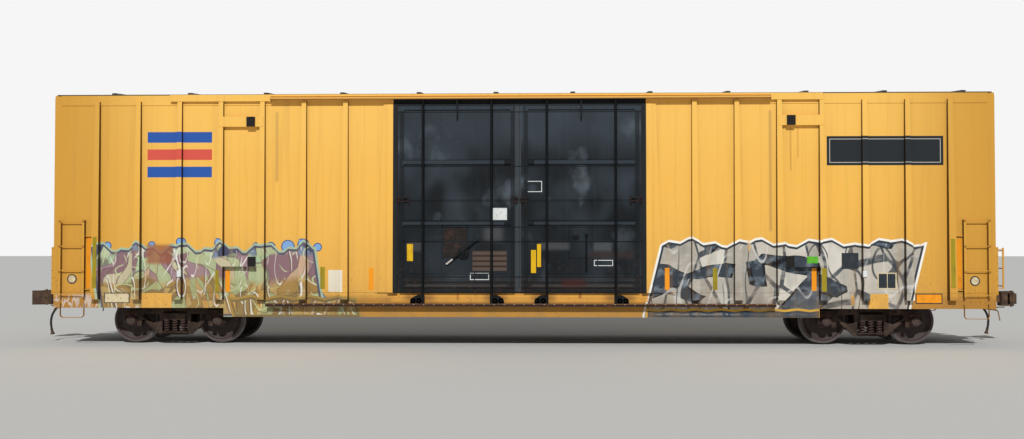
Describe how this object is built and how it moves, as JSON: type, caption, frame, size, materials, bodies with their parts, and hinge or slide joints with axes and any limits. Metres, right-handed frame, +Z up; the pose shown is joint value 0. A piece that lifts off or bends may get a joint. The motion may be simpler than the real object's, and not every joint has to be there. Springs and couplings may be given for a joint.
{
  "type": "high-cube railroad boxcar with double plug doors",
  "caption": "Sixty foot high-cube freight boxcar: outside posts, two plug doors on each side, four-wheel swivelling trucks and knuckle couplers.",
  "frame": {"origin": "middle of the car, at the tips of the wheel flanges, 28 mm below the rail's top", "axes": "+X along the car towards the hand brake end, +Y to the left side, +Z up"},
  "size_m": [20.82, 3.22, 5.21],
  "materials": {
    "floor_board": "worn hardwood boards",
    "frame_paint": "grimy dark underframe",
    "body_paint": "weathered yellow",
    "track_paint": "worn yellow, rusty edges",
    "stop_paint": "worn yellow and black rubber",
    "roof_metal": "galvanised grey",
    "door_paint": "weathered black",
    "fitting_paint": "dark, dusty",
    "brake_paint": "dark, dusty",
    "hose_rubber": "dusty black",
    "gladhand_iron": "rusty",
    "coupler_steel": "rusty",
    "truck_steel": "rust brown",
    "bearing_steel": "rust brown",
    "spring_steel": "rust brown",
    "wheel_steel": "rust brown, bright tread"
  },
  "bodies": {
    "carbody": {"air_hose_a": "hose_rubber", "air_hose_b": "hose_rubber", "air_reservoir": "brake_paint", "brake_cylinder": "brake_paint", "brake_pipe": "brake_paint", "brake_wheel": "fitting_paint", "centre_sill": "frame_paint", "control_valve": "brake_paint", "corner_posts": "body_paint", "cross_members": "frame_paint", "crossover_platforms": "fitting_paint", "door_carriages": "door_paint", "door_gear": "door_paint", "door_left_a": "door_paint", "door_left_b": "door_paint", "door_lock_rods": "door_paint", "door_right_a": "door_paint", "door_right_b": "door_paint", "door_stops": "stop_paint", "door_tracks": "track_paint", "end_ladders": "body_paint", "end_sills": "frame_paint", "end_wall_a": "body_paint", "end_wall_b": "body_paint", "floor": "floor_board", "gladhand_a": "gladhand_iron", "gladhand_b": "gladhand_iron", "hand_brake": "fitting_paint", "roof": "roof_metal", "side_ladders": "body_paint", "side_posts_left": "body_paint", "side_posts_right": "body_paint", "side_sheet_left_a": "body_paint", "side_sheet_left_b": "body_paint", "side_sheet_right_a": "body_paint", "side_sheet_right_b": "body_paint", "side_sills": "body_paint", "sill_steps": "body_paint", "stringers": "frame_paint", "top_chords": "body_paint", "uncoupling_levers": "fitting_paint"},
    "truck_a": {"side_frames_a": "truck_steel", "springs_a": "spring_steel", "truck_bolster_a": "truck_steel", "brake_beams_a": "truck_steel", "bearings_a": "bearing_steel"},
    "truck_b": {"side_frames_b": "truck_steel", "springs_b": "spring_steel", "truck_bolster_b": "truck_steel", "brake_beams_b": "truck_steel", "bearings_b": "bearing_steel"},
    "rolling_1": {"wheelset_1": "wheel_steel"},
    "rolling_2": {"wheelset_2": "wheel_steel"},
    "rolling_3": {"wheelset_3": "wheel_steel"},
    "rolling_4": {"wheelset_4": "wheel_steel"},
    "coupler_swing_a": {"coupler_a": "coupler_steel"},
    "knuckle_swing_a": {"knuckle_a": "coupler_steel"},
    "coupler_swing_b": {"coupler_b": "coupler_steel"},
    "knuckle_swing_b": {"knuckle_b": "coupler_steel"}
  },
  "joints": [
    {"name": "truck_a_swivel", "type": "hinge", "parent": "carbody", "child": "truck_a", "pos_m": [-7.0485, 0, 0.678], "axis": [0, 0, 1], "range_deg": [-7, 7]},
    {"name": "truck_b_swivel", "type": "hinge", "parent": "carbody", "child": "truck_b", "pos_m": [7.0485, 0, 0.678], "axis": [0, 0, 1], "range_deg": [-7, 7]},
    {"name": "wheelset_1_roll", "type": "hinge", "parent": "truck_a", "child": "rolling_1", "pos_m": [-7.9375, 0, 0.485], "axis": [0, 1, 0], "continuous": true},
    {"name": "wheelset_2_roll", "type": "hinge", "parent": "truck_a", "child": "rolling_2", "pos_m": [-6.1595, 0, 0.485], "axis": [0, 1, 0], "continuous": true},
    {"name": "wheelset_3_roll", "type": "hinge", "parent": "truck_b", "child": "rolling_3", "pos_m": [6.1595, 0, 0.485], "axis": [0, 1, 0], "continuous": true},
    {"name": "wheelset_4_roll", "type": "hinge", "parent": "truck_b", "child": "rolling_4", "pos_m": [7.9375, 0, 0.485], "axis": [0, 1, 0], "continuous": true},
    {"name": "coupler_a_swing", "type": "hinge", "parent": "carbody", "child": "coupler_swing_a", "pos_m": [-9.05, 0, 0.904], "axis": [0, 0, 1], "range_deg": [-7, 7]},
    {"name": "knuckle_a_open", "type": "hinge", "parent": "coupler_swing_a", "child": "knuckle_swing_a", "pos_m": [-10.24, 0.115, 0.904], "axis": [0, 0, 1], "range_deg": [-45, 0]},
    {"name": "coupler_b_swing", "type": "hinge", "parent": "carbody", "child": "coupler_swing_b", "pos_m": [9.05, 0, 0.904], "axis": [0, 0, 1], "range_deg": [-7, 7]},
    {"name": "knuckle_b_open", "type": "hinge", "parent": "coupler_swing_b", "child": "knuckle_swing_b", "pos_m": [10.24, -0.115, 0.904], "axis": [0, 0, 1], "range_deg": [-45, 0]}
  ]
}
